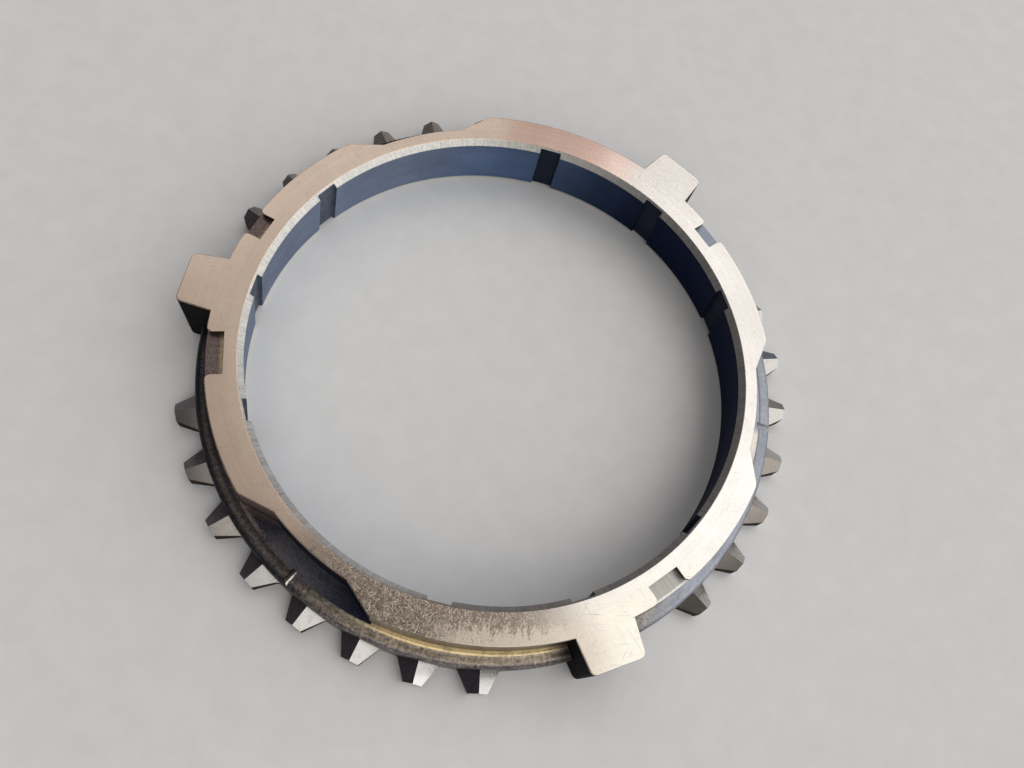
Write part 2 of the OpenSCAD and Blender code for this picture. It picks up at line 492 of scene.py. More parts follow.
def flatten(tree, mm):
    return vector(tree, "MULTIPLY", {0: mm, 1: (1, 1, 0)})[0]


def radiusOf(tree, mm):
    return vector(tree, "LENGTH", {0: flatten(tree, mm)})["Value"]


def heightOf(tree, mm):
    return put(tree, "ShaderNodeSeparateXYZ", {0: mm}).outputs["Z"]


# The unit vector away from the axis
def outward(tree, mm):
    return vector(tree, "NORMALIZE", {0: flatten(tree, mm)})[0]


# How far a place lies towards one side of the ring, from 0 at low to 1 at high
def toward(tree, mm, degrees, low, high):
    along = vector(tree, "DOT_PRODUCT", {0: mm, 1: polar(1, degrees)})["Value"]
    return span(tree, along, low, high)


# The same by angle: 1 within the full reach round a direction, 0 past the whole reach
def around(tree, mm, degrees, whole, full):
    low, high = math.cos(math.radians(whole)), math.cos(math.radians(full))
    return toward(tree, outward(tree, mm), degrees, low, high)


# Lays tones over a colour, each on its own side of the ring
def layTones(tree, mm, color, f, *tones):
    for tone in tones:
        color = blend(tree, toward(tree, mm, *f[tone + "Side"]), color, f[tone])
    return color


def grain(tree, place, size, detail=2.0, rough=0.6):
    return put(tree, "ShaderNodeTexNoise", {"Vector": place, "Scale": 1 / size, "Detail": detail,
                                            "Roughness": rough}).outputs[0]


# Soft-edged patches, where a noise lies between two levels
def patches(tree, mm, noise, levels):
    return span(tree, grain(tree, mm, *noise), *levels)


# Fine straight scratches, one layer for each direction, and each layer starts elsewhere
scratchForm = {"shift": (7.3, 3.1), "deep": 4, "detail": 1.5, "soft": 0.09}


def scratches(tree, mm, turns, long, thin, level):
    f = scratchForm
    shiftX, shiftY = f["shift"]
    total = None
    for k, turn in enumerate(turns):
        place = put(tree, "ShaderNodeMapping", {"Vector": mm, "Location": (shiftX * k, shiftY * k, 0),
                                                "Rotation": (0, 0, math.radians(turn)),
                                                "Scale": (long, thin, f["deep"])},
                    vector_type="TEXTURE").outputs[0]
        lines = span(tree, grain(tree, place, 1.0, f["detail"]), level, level + f["soft"])
        total = calc(tree, "MAXIMUM", total, lines) if total else lines
    return total


# Turned lines that run round the axis, and chatter that runs across them
turnedForm = {"drift": (0.03, 0.03, 0), "meanR": 32}


def turnedLines(tree, mm, pitch):
    slow = vector(tree, "MULTIPLY", {0: mm, 1: turnedForm["drift"]})[0]
    r, z = [calc(tree, "DIVIDE", value, pitch) for value in (radiusOf(tree, mm), heightOf(tree, mm))]
    line = put(tree, "ShaderNodeCombineXYZ", {"X": r, "Z": z}).outputs[0]
    return grain(tree, vector(tree, "ADD", {0: slow, 1: line})[0], 1.0)


def chatter(tree, mm, pitch):
    place = vector(tree, "SCALE", {0: outward(tree, mm), "Scale": turnedForm["meanR"] / pitch})[0]
    return grain(tree, place, 1.0, 1.0)


# Round dots, in those cells of a Voronoi texture that pass a level
speckForm = {"dot": (0.12, 0.3), "soft": 0.02}


def specks(tree, mm, size, level):
    f = speckForm
    cells = put(tree, "ShaderNodeTexVoronoi", {"Vector": mm, "Scale": 1 / size, "Randomness": 1.0})
    pick = put(tree, "ShaderNodeSeparateColor", {0: cells.outputs["Color"]}).outputs[0]
    dot = span(tree, cells.outputs["Distance"], *f["dot"], 1.0, 0.0)
    return times(tree, dot, span(tree, pick, level, level + f["soft"]))


# The roughness follows the noise that makes the height, unless it is given
def closeFinish(finish, f, color, height, rough=None):
    tree = finish.node_tree
    shader = tree.nodes["Principled BSDF"]
    rough = rough or spread(tree, height, *f["rough"])
    sheen = f.get("sheen", 1.0)
    shader.inputs["Metallic"].default_value = f["metal"]
    shader.inputs["Specular IOR Level"].default_value = f.get("gloss", 0.5)
    shader.inputs["Specular Tint"].default_value = (sheen, sheen, sheen, 1)
    tree.links.new(color, shader.inputs["Base Color"])
    tree.links.new(rough, shader.inputs["Roughness"])
    bump = put(tree, "ShaderNodeBump", {"Height": height, "Strength": 0.6, "Distance": f["depth"] * 0.001})
    tree.links.new(bump.outputs[0], shader.inputs["Normal"])
    return finish


# In a finish's dictionary a Side is a direction and its reach in mm, an Arc is a direction with
# its whole and full reach in degrees, R and Z are ranges of radius and height, a Share is how
# strongly a tone covers, a Shade is how far a noise darkens and lightens, and a Patch is a noise
# with the levels between which it comes in
groundForm = {
    "tan": (0.71, 0.58, 0.48),
    # pale on the right, sand at the back left, blush and rose streaks at the back, and white and lug on the
    # near right are painted reflections of the lamps
    "pale": (0.82, 0.785, 0.75), "paleSide": (2, -6, 19),
    "sand": (0.85, 0.70, 0.59), "sandSide": (135, 24, 33),
    "blush": (0.90, 0.62, 0.55), "blushArc": (75, 9, 3), "blushShare": 0.6,
    "rose": (0.60, 0.40, 0.34), "roseArc": (87, 16, 5), "roseShare": 0.75,
    "white": (0.92, 0.90, 0.855), "whiteSide": (318, 22, 30),
    "lug": (1.0, 0.935, 0.825), "lugSide": (300, 29.5, 33),
    # umber is painted shade, towards the outer edge on the left
    "umber": (0.40, 0.28, 0.20), "umberSide": (222, 24, 32), "umberR": (30.5, 33.6, 0.4, 1.0),
    "umberShare": 0.36,
    "brown": (0.30, 0.236, 0.19), "brownArc": (267, 34.5, 10),
    "cloud": (7.0, 3.0), "cloudShade": (0.94, 1.05), "fine": (0.28, 3.0, 0.7), "fineShade": (0.96, 1.03),
    "turned": 0.35, "turnedShade": (0.97, 1.03),
    "pit": (0.34, 0.31, 0.28), "pits": (0.30, 0.93), "pitShare": 0.25,
    "nicks": ((12, 71, 133), 2.6, 0.12, 0.66), "nickShare": 0.45,
    "worn": (0.82, 0.715, 0.60), "wornPatch": ((0.16, 3.0, 0.7), (0.54, 0.66)),
    "strokes": ((62, 78, 103, 121, 18, 149), 1.1, 0.13, 0.63), "chips": (0.34, 0.62),
    "scuff": (0.01, 0.92), "scuffSide": (300, 14, 27), "scuffSpread": (0.6, 1.0), "scuffRough": 0.2,
    "borderArc": (283, 17, 8), "borderR": (32.60, 33.05), "borderWear": (0.80, 1.0),
    "raggedStep": 0.45, "raggedGrain": (0.24, 2.0, 0.7), "ragged": 4.0,
    "flecks": (0.30, 0.45), "fleckSide": (230, 24, 30), "fleckR": (31.15, 32.4, 0.7, 0.12),
    "metal": 1.0, "rough": (0.24, 0.34), "depth": 0.004,
}


def groundFace():
    f = groundForm
    finish, tree, mm = startFinish("groundFace")
    r = radiusOf(tree, mm)
    nearSide = around(tree, mm, *f["brownArc"])
    # painted reflections of the lamps, each on its own side of the face
    color = layTones(tree, mm, f["tan"], f, "pale", "sand")
    for tone in ("blush", "rose"):
        share = times(tree, around(tree, mm, *f[tone + "Arc"]), f[tone + "Share"])
        color = blend(tree, share, color, f[tone])
    color = layTones(tree, mm, color, f, "white", "lug")
    # painted shade towards the outer edge on the left side
    outer = times(tree, span(tree, r, *f["umberR"]), toward(tree, mm, *f["umberSide"]), f["umberShare"])
    color = blend(tree, outer, color, f["umber"])
    color = blend(tree, nearSide, color, f["brown"])
    color = shade(tree, color, grain(tree, mm, *f["cloud"]), *f["cloudShade"])
    fine = grain(tree, mm, *f["fine"])
    color = shade(tree, color, fine, *f["fineShade"])
    # faint turned streaks, and a few dark scratches from use
    color = shade(tree, color, turnedLines(tree, mm, f["turned"]), *f["turnedShade"])
    nicks = scratches(tree, mm, *f["nicks"])
    color = blend(tree, times(tree, nicks, f["nickShare"]), color, f["pit"])
    # the near side is scuffed: short light strokes, and a ragged pale border along the outer edge
    lines = calc(tree, "MAXIMUM", scratches(tree, mm, *f["strokes"]), specks(tree, mm, *f["chips"]))
    strokes = calc(tree, "MAXIMUM", patches(tree, mm, *f["wornPatch"]), lines)
    scuff = times(tree, strokes, rescale(tree, nearSide, *f["scuff"]),
                  rescale(tree, toward(tree, mm, *f["scuffSide"]), *f["scuffSpread"]))
    color = blend(tree, scuff, color, f["worn"])
    ragged = calc(tree, "ADD", chatter(tree, mm, f["raggedStep"]), grain(tree, mm, *f["raggedGrain"]))
    ragged = times(tree, calc(tree, "SUBTRACT", ragged, 1.0), f["ragged"])
    border = times(tree, span(tree, calc(tree, "ADD", r, ragged), *f["borderR"]),
                   around(tree, mm, *f["borderArc"]), rescale(tree, strokes, *f["borderWear"]))
    color = blend(tree, border, color, f["worn"])
    # pale flecks along the bore, and pits all round
    flecks = times(tree, specks(tree, mm, *f["flecks"]), span(tree, r, *f["fleckR"]),
                   toward(tree, mm, *f["fleckSide"]))
    color = blend(tree, flecks, color, f["pale"])
    pits = times(tree, specks(tree, mm, *f["pits"]), f["pitShare"])
    color = blend(tree, pits, color, f["pit"])
    rough = calc(tree, "ADD", spread(tree, fine, *f["rough"]), times(tree, scuff, f["scuffRough"]))
    height = calc(tree, "SUBTRACT", fine, calc(tree, "ADD", scuff, pits))
    return closeFinish(finish, f, color, height, rough)


chamferForm = {
    "clean": (0.86, 0.845, 0.80),
    # clean is the lit tone; far, shadow and dull are painted shade on the far side, the near left, the right
    # and the near right
    "far": (0.43, 0.415, 0.39), "farSide": (70, 22, 31),
    "shadow": (0.66, 0.645, 0.64), "shadowSide": (235, 24, 30),
    "dullAndShade": (0.36, 0.335, 0.315), "dullAndShadeSide": (-10, 0, 22), "shadeNear": (285, 26, 30),
    "marks": 0.22, "markShade": (0.84, 1.12), "speckle": (0.20, 2.0), "speckleShade": (0.82, 1.12),
    "cloud": (1.2, 3.0), "cloudShade": (0.92, 1.06),
    "metal": 0.6, "rough": (0.34, 0.48), "depth": 0.01,
}


def boreChamfer():
    f = chamferForm
    finish, tree, mm = startFinish("boreChamfer")
    marks = chatter(tree, mm, f["marks"])
    speckle = grain(tree, mm, *f["speckle"])
    # painted shade by side
    color = layTones(tree, mm, f["clean"], f, "far", "shadow", "dullAndShade")
    color = blend(tree, toward(tree, mm, *f["shadeNear"]), color, f["dullAndShade"])
    color = shade(tree, color, marks, *f["markShade"])
    color = shade(tree, color, speckle, *f["speckleShade"])
    color = shade(tree, color, grain(tree, mm, *f["cloud"]), *f["cloudShade"])
    return closeFinish(finish, f, color, speckle, spread(tree, marks, *f["rough"]))


coneForm = {
    # slate is the coating's dark grey with a painted bluish reflection; blue at the back is a painted
    # reflection, and dark on the right painted shade
    "slate": (0.22, 0.27, 0.385),
    "blue": (0.12, 0.19, 0.34), "blueSide": (75, 18, 30),
    "dark": (0.004, 0.010, 0.042), "darkSide": (10, -4, 22),
    "turned": 0.16, "turnedShade": (0.92, 1.06), "cloud": (5.0, 3.0), "cloudShade": (0.85, 1.12),
    "fine": (0.3, 3.0), "fineShade": (0.9, 1.1),
    "metal": 0.35, "gloss": 0.1, "sheen": 0.4, "rough": (0.46, 0.62), "depth": 0.006,
}


def frictionCone():
    f = coneForm
    finish, tree, mm = startFinish("frictionCone")
    # painted reflection at the back and painted shade on the right
    color = layTones(tree, mm, f["slate"], f, "blue", "dark")
    color = shade(tree, color, turnedLines(tree, mm, f["turned"]), *f["turnedShade"])
    color = shade(tree, color, grain(tree, mm, *f["cloud"]), *f["cloudShade"])
    fine = grain(tree, mm, *f["fine"])
    color = shade(tree, color, fine, *f["fineShade"])
    return closeFinish(finish, f, color, fine)


grooveSkinForm = {
    # soot is painted shade, on the grooves at the right and back
    "slate": (0.13, 0.155, 0.20), "sootAndShade": (0.021, 0.028, 0.048), "sootAndShadeSide": (40, -6, 14),
    "cloud": (2.0,), "cloudShade": (0.8, 1.2), "fine": (0.5, 3.0), "fineShade": (0.8, 1.25),
    "metal": 0.3, "gloss": 0.1, "sheen": 0.4, "rough": (0.5, 0.7), "depth": 0.01,
}


def oilGroove():
    f = grooveSkinForm
    finish, tree, mm = startFinish("oilGroove")
    fine = grain(tree, mm, *f["fine"])
    # painted shade on the grooves at the right and back
    color = layTones(tree, mm, f["slate"], f, "sootAndShade")
    color = shade(tree, color, grain(tree, mm, *f["cloud"]), *f["cloudShade"])
    color = shade(tree, color, fine, *f["fineShade"])
    return closeFinish(finish, f, color, fine)


# A nook is the corner beside a lug, given by the lug and its side, where the lug's shadow is painted
nookForm = {"start": (-1, 1), "stop": (3.6, 7.0), "lugReach": (28, 32)}
forgedForm = {
    "dark": (0.055, 0.052, 0.055), "umber": (0.16, 0.137, 0.13), "umberSide": (240, 26, 35),
    "brown": (0.46, 0.395, 0.315), "nearSide": (282, 25, 33),
    # steel on the right is a painted reflection of the side lamp, and the rim is painted by side: near-black
    # navy at the back and left in painted shade, greyer near, pale as a painted reflection on the right
    "steel": (0.37, 0.39, 0.44), "rightSide": (-10, 24, 31),
    "rim": (0.045, 0.047, 0.060), "nearRim": (0.25, 0.232, 0.245), "rightRim": (0.41, 0.435, 0.50),
    "rimR": (35.85, 36.25),
    "sootAndShade": (0.04, 0.036, 0.036), "specks": (0.32, 0.55), "speckShare": 0.6,
    "strokes": 0.30, "strokeLevels": (0.40, 0.60), "strokeShare": 0.18,
    "bronze": (0.66, 0.53, 0.34), "bronzePatch": ((0.32, 2.0), (0.54, 0.64)), "bronzeShare": 0.45,
    "fine": (0.22, 3.0, 0.7), "fineShade": (0.58, 1.38), "coarse": (0.42, 3.0), "coarseShade": (0.62, 1.34),
    "rightGrain": 0.35, "cloud": (4.0, 3.0), "cloudShade": (0.88, 1.10),
    "gold": (1.0, 0.78, 0.42), "goldSide": (276, 32, 34), "goldZ": (3.95, 4.02),
    "goldEndZ": (4.50, 4.80, 1.0, 0.0), "goldPatch": ((0.9, 3.0), (0.34, 0.52, 0.45, 1.0)), "goldRough": 0.12,
    "rust": (0.46, 0.32, 0.20), "rustSpecks": (0.28, 0.40), "rustSide": (232, 33, 34.5),
    "rustR": (35.0, 35.3, 0.7, 0.0),
    "edge": (0.62, 0.58, 0.53), "edgeZ": (0.12, 0.40, 0.8, 0.0), "edgeR": (36.2, 36.4),
    # the nooks take painted shadow of the lugs
    "nooks": ((300, -1), (180, 1)), "nookShare": 0.9, "rightNook": (300, 1), "rightNookShare": 0.6,
    "metal": 0.9, "gloss": 0.3, "sheen": 0.7, "rough": (0.32, 0.52), "depth": 0.016,
}


def nook(tree, mm, lug, side):
    f = nookForm
    across = lug + side * 90
    start, stop = toward(tree, mm, across, *f["start"]), toward(tree, mm, across, *f["stop"])
    return times(tree, calc(tree, "SUBTRACT", start, stop), toward(tree, mm, lug, *f["lugReach"]))


def forgedSkin():
    f = forgedForm
    finish, tree, mm = startFinish("forgedSkin")
    r, z = radiusOf(tree, mm), heightOf(tree, mm)
    fine = grain(tree, mm, *f["fine"])
    right = toward(tree, mm, *f["rightSide"])
    offRight = calc(tree, "SUBTRACT", 1.0, right)
    nearSide = toward(tree, mm, *f["nearSide"])
    color = layTones(tree, mm, f["dark"], f, "umber")
    color = blend(tree, nearSide, color, f["brown"])
    # painted reflection of the side lamp on the right, and the rim band painted by side as shade and
    # reflection
    color = blend(tree, right, color, f["steel"])
    outer = blend(tree, nearSide, f["rim"], f["nearRim"])
    outer = blend(tree, right, outer, f["rightRim"])
    color = blend(tree, span(tree, r, *f["rimR"]), color, outer)
    # radial strokes, bronze patches and dark specks on the shoulder
    strokes = span(tree, chatter(tree, mm, f["strokes"]), *f["strokeLevels"])
    color = blend(tree, times(tree, strokes, offRight, f["strokeShare"]), color, f["sootAndShade"])
    bronze = times(tree, patches(tree, mm, *f["bronzePatch"]), nearSide, offRight, f["bronzeShare"])
    color = blend(tree, bronze, color, f["bronze"])
    grainy = shade(tree, color, fine, *f["fineShade"])
    grainy = shade(tree, grainy, grain(tree, mm, *f["coarse"]), *f["coarseShade"])
    color = blend(tree, rescale(tree, right, 1.0, f["rightGrain"]), color, grainy)
    color = shade(tree, color, grain(tree, mm, *f["cloud"]), *f["cloudShade"])
    sootAndShade = times(tree, specks(tree, mm, *f["specks"]), offRight)
    color = blend(tree, times(tree, sootAndShade, f["speckShare"]), color, f["sootAndShade"])
    # a gold band in the fillet, on the near side
    band = times(tree, span(tree, z, *f["goldZ"]), span(tree, z, *f["goldEndZ"]))
    tint = times(tree, band, patches(tree, mm, *f["goldPatch"]), toward(tree, mm, *f["goldSide"]))
    color = blend(tree, tint, color, f["gold"])
    # rust by the first pocket, a painted highlight on the lower edge, and painted shadow beside the lugs
    rust = times(tree, specks(tree, mm, *f["rustSpecks"]), span(tree, r, *f["rustR"]),
                 toward(tree, mm, *f["rustSide"]))
    color = blend(tree, rust, color, f["rust"])
    # painted highlight along the rim's lower edge
    lip = times(tree, span(tree, z, *f["edgeZ"]), span(tree, r, *f["edgeR"]))
    color = blend(tree, lip, color, f["edge"])
    # painted shadow of the lugs in the corners beside them
    corners = calc(tree, "MAXIMUM", *[nook(tree, mm, *place) for place in f["nooks"]])
    color = blend(tree, times(tree, corners, f["nookShare"]), color, f["sootAndShade"])
    corner = nook(tree, mm, *f["rightNook"])
    color = blend(tree, times(tree, corner, f["rightNookShare"]), color, f["umber"])
    rough = calc(tree, "SUBTRACT", spread(tree, fine, *f["rough"]), times(tree, tint, f["goldRough"]))
    return closeFinish(finish, f, color, calc(tree, "SUBTRACT", fine, sootAndShade), rough)


lugSkinForm = {
    # the lug sides are painted shade: darker than the forged skin, and navy as a bluish painted reflection
    "navy": (0.022, 0.024, 0.036), "brown": (0.040, 0.033, 0.030), "cloud": (2.5,),
    "fine": (0.4, 3.0), "fineShade": (0.75, 1.3),
    "drag": (0.16, 0.15, 0.14), "drags": ((90,), 0.3, 0.3, 0.6), "dragShare": 0.15,
    "metal": 0.8, "gloss": 0.1, "sheen": 0.25, "rough": (0.36, 0.55), "depth": 0.012,
}


def lugSide():
    f = lugSkinForm
    finish, tree, mm = startFinish("lugSide")
    fine = grain(tree, mm, *f["fine"])
    drags = scratches(tree, mm, *f["drags"])
    color = blend(tree, grain(tree, mm, *f["cloud"]), f["navy"], f["brown"])
    color = shade(tree, color, fine, *f["fineShade"])
    color = blend(tree, times(tree, drags, f["dragShare"]), color, f["drag"])
    return closeFinish(finish, f, color, fine)


roofForm = {
    "clean": (0.69, 0.665, 0.635),
    "stainAndShade": (0.42, 0.395, 0.37), "stainPatch": ((1.1, 3.0, 0.7), (0.54, 0.70)), "stainShare": 0.5,
    # old is painted shade on the left teeth, and fresh a painted highlight on the facet that the lug at 300
    # shades
    "leftShade": (0.20, 0.19, 0.18), "leftShadeSide": (200, 22, 40),
    "litFacet": (0.95, 0.92, 0.885), "litFacetSide": (280, 36.6, 37.6),
    "fine": (0.3, 3.0), "fineShade": (0.90, 1.08),
    "scratch": (0.30, 0.27, 0.25), "scratches": ((33, 122, 75), 1.4, 0.08, 0.66), "scratchShare": 0.3,
    "metal": 1.0, "rough": (0.23, 0.34), "depth": 0.010,
}


def toothRoof():
    f = roofForm
    finish, tree, mm = startFinish("toothRoof")
    fine = grain(tree, mm, *f["fine"])
    stainAndShade = patches(tree, mm, *f["stainPatch"])
    color = blend(tree, times(tree, stainAndShade, f["stainShare"]), f["clean"], f["stainAndShade"])
    # painted shade on the left teeth, and a painted highlight beside the lug at 300
    color = layTones(tree, mm, color, f, "leftShade", "litFacet")
    color = shade(tree, color, fine, *f["fineShade"])
    lines = scratches(tree, mm, *f["scratches"])
    color = blend(tree, times(tree, lines, f["scratchShare"]), color, f["scratch"])
    return closeFinish(finish, f, color, fine)


shadedRoofForm = {
    # these facets are in painted shade: mid grey, lighter at the back, dark on the left, bluish on the right
    # as a painted reflection, dim on the near right; the light patches are wear
    "grey": (0.42, 0.385, 0.35),
    "bareAndLit": (0.62, 0.54, 0.48), "barePatch": ((0.9, 3.0, 0.7), (0.56, 0.72)), "bareShare": 0.5,
    "bareAndLitSide": (112, 30, 37),
    "dark": (0.07, 0.065, 0.065), "darkSide": (190, 28, 38),
    "blue": (0.26, 0.29, 0.36), "blueSide": (25, 35.5, 37.5),
    "dim": (0.17, 0.16, 0.145), "dimSide": (-50, 30, 37),
    "fine": (0.3, 3.0), "fineShade": (0.84, 1.14),
    "metal": 1.0, "rough": (0.26, 0.40), "depth": 0.012,
}


def shadedRoof():
    f = shadedRoofForm
    finish, tree, mm = startFinish("shadedRoof")
    fine = grain(tree, mm, *f["fine"])
    bareAndLit = patches(tree, mm, *f["barePatch"])
    color = blend(tree, times(tree, bareAndLit, f["bareShare"]), f["grey"], f["bareAndLit"])
    color = layTones(tree, mm, color, f, "bareAndLit", "dark", "blue", "dim")
    color = shade(tree, color, fine, *f["fineShade"])
    return closeFinish(finish, f, color, fine)


darkRoofForm = {
    # left-facing roof facets in painted shade, lighter towards the far left teeth; the light patches are wear
    "roofShade": (0.17, 0.14, 0.165), "lighterShade": (0.26, 0.225, 0.235), "lighterShadeSide": (195, 29, 35),
    "bareAndLit": (0.24, 0.21, 0.20), "barePatch": ((0.9, 3.0, 0.7), (0.58, 0.74)), "bareShare": 0.6,
    "fine": (0.3, 3.0), "fineShade": (0.82, 1.18),
    "metal": 0.95, "rough": (0.28, 0.44), "depth": 0.012,
}


def darkRoof():
    f = darkRoofForm
    finish, tree, mm = startFinish("darkRoof")
    fine = grain(tree, mm, *f["fine"])
    bareAndLit = patches(tree, mm, *f["barePatch"])
    color = layTones(tree, mm, f["roofShade"], f, "lighterShade")
    color = blend(tree, times(tree, bareAndLit, f["bareShare"]), color, f["bareAndLit"])
    color = shade(tree, color, fine, *f["fineShade"])
    return closeFinish(finish, f, color, fine)


flankForm = {
    "tones": ((0.055, 0.046, 0.044), (0.10, 0.078, 0.062)), "cloud": (1.8,),
    "fine": (0.35, 3.0), "fineShade": (0.7, 1.3),
    "metal": 0.8, "gloss": 0.2, "sheen": 0.3, "rough": (0.36, 0.55), "depth": 0.015,
}


# A plain finish, for tooth flanks and floor: two tones in clouds, and a fine grain
def plainFinish(name, f, scale=1000.0):
    finish, tree, place = startFinish(name, scale)
    fine = grain(tree, place, *f["fine"])
    color = blend(tree, grain(tree, place, *f["cloud"]), *f["tones"])
    color = shade(tree, color, fine, *f["fineShade"])
    return closeFinish(finish, f, color, fine)


# The painted shadow and the brown tones lie in the first pocket only: along points to its left end,
# and a Run is a range that way, in mm from the pocket's middle
pocketSkinForm = {
    # navy is painted shadow, cast by the neck across the floor and into the left end, with a bluish painted
    # reflection
    "navy": (0.034, 0.036, 0.062), "navyRun": (3.0, 6.0), "firstSide": (240, 10, 20), "along": 150,
    "slate": (0.115, 0.112, 0.128), "slateRun": (-8, 0),
    "wallBrown": (0.27, 0.20, 0.185), "lipRun": (5.0, 7.5), "lipR": (34.2, 34.6),
    "wallRun": (4.2, 5.8), "wallZ": (4.45, 5.2),
    "footRun": (4.2, 5.6), "footSide": (254.8, 29.8, 30.4), "footShare": 0.45,
    "brown": (0.22, 0.17, 0.14), "brownPatch": ((0.32, 3.0, 0.7), (0.46, 0.62)), "brownRun": (-2, 8),
    "brownR": (33.2, 34.6, 0.25, 0.9),
    "steel": (0.42, 0.445, 0.50), "rightSide": (-10, 14, 30), "rightGrain": 0.3,
    "lit": (0.90, 0.84, 0.76), "litSide": (-90, 0.3, 1.6), "litEndSide": (-90, 3.0, 6.5),
    "fine": (0.25, 3.0, 0.7), "fineShade": (0.60, 1.36),
    "metal": 0.85, "gloss": 0.2, "sheen": 0.4, "rough": (0.34, 0.54), "depth": 0.016,
}


def pocketSkin():
    f = pocketSkinForm
    finish, tree, mm = startFinish("pocketSkin")
    r, z = radiusOf(tree, mm), heightOf(tree, mm)
    fine = grain(tree, mm, *f["fine"])
    right = toward(tree, mm, *f["rightSide"])
    first = toward(tree, mm, *f["firstSide"])
    stainAndShade = lambda run: times(tree, toward(tree, mm, f["along"], *f[run]), first)
    worn = times(tree, patches(tree, mm, *f["brownPatch"]), stainAndShade("brownRun"), span(tree, r, *f["brownR"]))
    # painted shadow across the floor and into its left end
    ledge = blend(tree, stainAndShade("slateRun"), f["navy"], f["slate"])
    ledge = blend(tree, stainAndShade("navyRun"), ledge, f["navy"])
    lip = times(tree, stainAndShade("lipRun"), span(tree, r, *f["lipR"]))
    ledge = blend(tree, lip, ledge, f["wallBrown"])
    # brown also at the foot of the slanting left wall
    foot = calc(tree, "SUBTRACT", stainAndShade("footRun"), toward(tree, mm, *f["footSide"]))
    ledge = blend(tree, times(tree, foot, f["footShare"]), ledge, f["wallBrown"])
    ledge = blend(tree, worn, ledge, f["brown"])
    # the right pocket takes a painted reflection of the side lamp, and a painted glint beside its mark
    ledge = blend(tree, right, ledge, f["steel"])
    lit = calc(tree, "SUBTRACT", toward(tree, mm, *f["litSide"]), toward(tree, mm, *f["litEndSide"]))
    ledge = blend(tree, times(tree, lit, right), ledge, f["lit"])
    # the wall is in painted shadow, brown near the left end
    wall = blend(tree, stainAndShade("wallRun"), f["navy"], f["wallBrown"])
    color = blend(tree, span(tree, z, *f["wallZ"]), ledge, wall)
    grainy = shade(tree, color, fine, *f["fineShade"])
    color = blend(tree, rescale(tree, right, 1.0, f["rightGrain"]), color, grainy)
    return closeFinish(finish, f, color, fine)


notchSkinForm = {
    "brown": (0.19, 0.145, 0.135), "gold": (0.44, 0.34, 0.22), "goldR": (32.65, 33.15, 0.95, 0.0),
    "leftShadeGrain": (0.6, 1.35),
    "beige": (0.50, 0.485, 0.45), "rightSide": (0, -5, 5),
    "blue": (0.32, 0.36, 0.43), "farSide": (90, -5, 5),
    # edge is a painted highlight along the outer edge of the near right notch
    "edge": (0.88, 0.86, 0.82), "edgeR": (34.15, 34.35),
    "wall": (0.085, 0.062, 0.050), "wallZ": (8.15, 8.4),
    "marks": 0.35, "markShade": (0.92, 1.07), "fine": (0.3, 3.0), "fineShade": (0.92, 1.08),
    "metal": 0.9, "rough": (0.32, 0.5), "depth": 0.012,
}


def notchSkin():
    f = notchSkinForm
    finish, tree, mm = startFinish("notchSkin")
    r, z = radiusOf(tree, mm), heightOf(tree, mm)
    fine = grain(tree, mm, *f["fine"])
    marks = chatter(tree, mm, f["marks"])
    right, far = toward(tree, mm, *f["rightSide"]), toward(tree, mm, *f["farSide"])
    # the right two are painted pale, reflecting the side lamp; the left two are brown, in painted shade
    bareAndLit = blend(tree, far, f["beige"], f["blue"])
    leftShade = blend(tree, span(tree, r, *f["goldR"]), f["brown"], f["gold"])
    leftShade = shade(tree, leftShade, fine, *f["leftShadeGrain"])
    color = blend(tree, right, leftShade, bareAndLit)
    # painted highlight along the outer edge of the near right notch
    lip = times(tree, calc(tree, "SUBTRACT", right, far), span(tree, r, *f["edgeR"]))
    color = blend(tree, lip, color, f["edge"])
    color = blend(tree, span(tree, z, *f["wallZ"]), color, f["wall"])
    color = shade(tree, color, marks, *f["markShade"])
    color = shade(tree, color, fine, *f["fineShade"])
    return closeFinish(finish, f, color, marks, spread(tree, fine, *f["rough"]))


gearSideForm = {
    "steel": (0.50, 0.46, 0.42), "dark": (0.30, 0.27, 0.25), "darkPatch": ((6.0, 3.0), (0.4, 0.7)),
    "turned": 0.25, "turnedShade": (0.85, 1.12),
    "wear": (0.7, 0.66, 0.62), "wearLines": ((25, 100, 160), 3.0, 0.1, 0.66), "wearShare": 0.4,
    "metal": 1.0, "rough": (0.30, 0.46), "depth": 0.01,
}


def gearSide():
    f = gearSideForm
    finish, tree, mm = startFinish("gearSide")
    lines = turnedLines(tree, mm, f["turned"])
    color = blend(tree, patches(tree, mm, *f["darkPatch"]), f["steel"], f["dark"])
    color = shade(tree, color, lines, *f["turnedShade"])
    wear = scratches(tree, mm, *f["wearLines"])
    color = blend(tree, times(tree, wear, f["wearShare"]), color, f["wear"])
    return closeFinish(finish, f, color, lines)


markSkinForm = {
    "bright": (0.90, 0.87, 0.83), "dullAndShade": (0.66, 0.61, 0.56), "dullPatch": ((0.8,), (0.5, 0.75)),
    "fine": (0.3, 3.0), "fineShade": (0.9, 1.1),
    "metal": 0.9, "rough": (0.30, 0.42), "depth": 0.01,
}


def markSkin():
    f = markSkinForm
    finish, tree, mm = startFinish("markSkin")
    fine = grain(tree, mm, *f["fine"])
    color = blend(tree, patches(tree, mm, *f["dullPatch"]), f["bright"], f["dullAndShade"])
    color = shade(tree, color, fine, *f["fineShade"])
    return closeFinish(finish, f, color, fine)


# What a face pick can ask: radius, angle, height, and the normal outwards, round, up and to the left
faceFacts = namedtuple("faceFacts", "r a z out side up left")


def factsOf(face):
    p, n = face.calc_center_median(), face.normal
    r = math.hypot(p.x, p.y)
    return faceFacts(r, math.degrees(math.atan2(p.y, p.x)), p.z, (n.x * p.x + n.y * p.y) / r,
                     (n.y * p.x - n.x * p.y) / r, n.z, -n.x)


